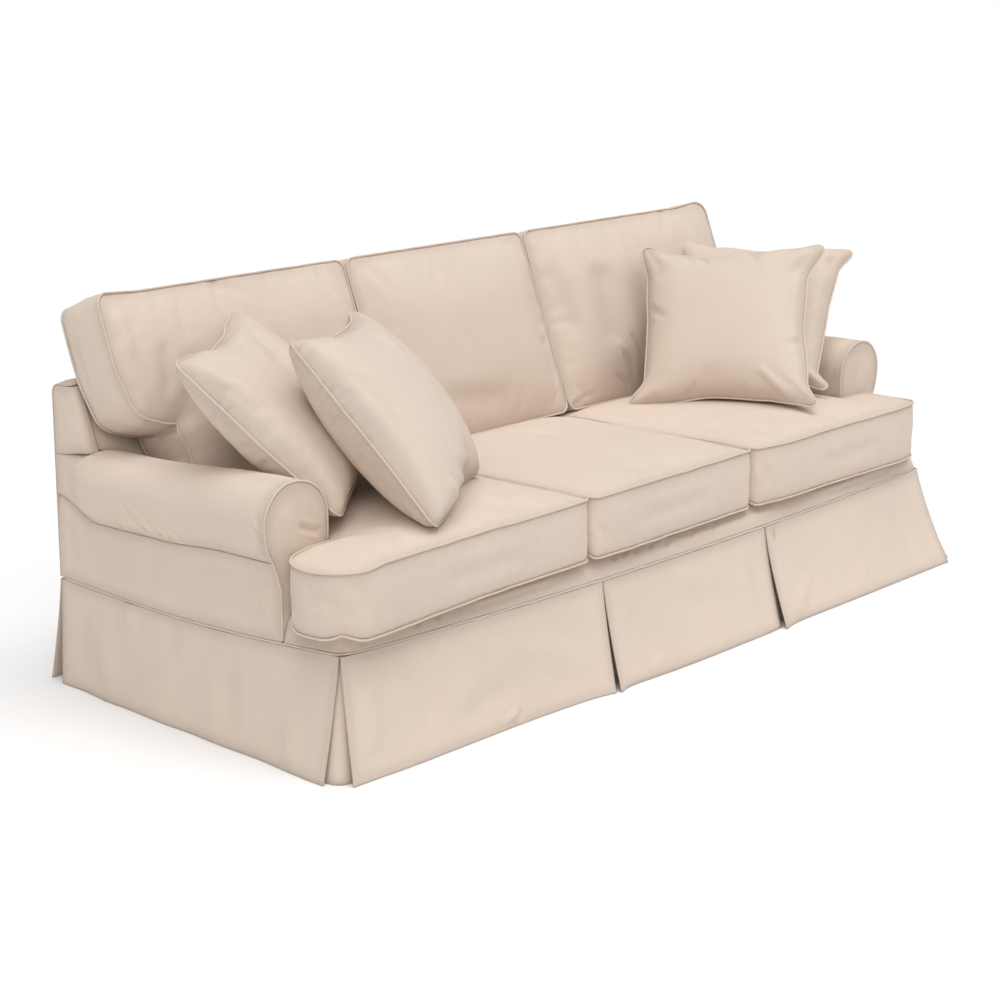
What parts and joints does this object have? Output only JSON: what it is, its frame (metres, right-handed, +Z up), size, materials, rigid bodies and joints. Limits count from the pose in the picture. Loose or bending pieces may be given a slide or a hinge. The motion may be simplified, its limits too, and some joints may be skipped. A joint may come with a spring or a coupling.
{
  "type": "sofa slipcover with cushion covers",
  "caption": "Fitted cotton slipcover for a roll arm sofa: hollow body cover with pleated skirt, box seat and back cushions and throw pillows, all edged with welts.",
  "frame": {"origin": "on the floor, at the middle of the cover's outline", "axes": "+X along the sofa to a viewer's right, -Y towards the front, +Z up"},
  "size_m": [2.2888, 1.0343, 0.8792],
  "materials": {
    "body_cotton": "matte plain weave",
    "cushion_cotton": "matte plain weave",
    "pillow_cotton": "matte plain weave",
    "welt_cotton": "matte plain weave over cord",
    "underlay_cotton": "matte plain weave"
  },
  "bodies": {
    "root": {"front_band": "body_cotton", "deck": "underlay_cotton", "inside_back": "body_cotton", "outside_back": "body_cotton", "back_side_left": "body_cotton", "back_side_right": "body_cotton", "arm_roll_left": "body_cotton", "arm_roll_right": "body_cotton", "outer_arm_left": "body_cotton", "outer_arm_right": "body_cotton", "facing_left": "body_cotton", "facing_right": "body_cotton", "skirt_front_left": "body_cotton", "skirt_front_centre": "body_cotton", "skirt_front_right": "body_cotton", "skirt_left": "body_cotton", "skirt_right": "body_cotton", "skirt_back": "body_cotton", "underlay_front_left": "underlay_cotton", "underlay_front_right": "underlay_cotton", "underlay_corner_front_left": "underlay_cotton", "underlay_corner_front_right": "underlay_cotton", "underlay_corner_back_left": "underlay_cotton", "underlay_corner_back_right": "underlay_cotton", "welt_skirt": "welt_cotton", "welt_facing_left": "welt_cotton", "welt_facing_right": "welt_cotton", "seat_left": "cushion_cotton", "seat_centre": "cushion_cotton", "seat_right": "cushion_cotton", "welt_seat_left_top": "welt_cotton", "welt_seat_left_bottom": "welt_cotton", "welt_seat_centre_top": "welt_cotton", "welt_seat_centre_bottom": "welt_cotton", "welt_seat_right_top": "welt_cotton", "welt_seat_right_bottom": "welt_cotton", "back_left": "cushion_cotton", "back_centre": "cushion_cotton", "back_right": "cushion_cotton", "welt_back_left_front": "welt_cotton", "welt_back_left_rear": "welt_cotton", "welt_back_centre_front": "welt_cotton", "welt_back_centre_rear": "welt_cotton", "welt_back_right_front": "welt_cotton", "welt_back_right_rear": "welt_cotton", "pillow_left_rear": "pillow_cotton", "pillow_left_front": "pillow_cotton", "pillow_right_rear": "pillow_cotton", "pillow_right_front": "pillow_cotton", "welt_pillow_left_rear": "welt_cotton", "welt_pillow_left_front": "welt_cotton", "welt_pillow_right_rear": "welt_cotton", "welt_pillow_right_front": "welt_cotton"}
  },
  "joints": []
}
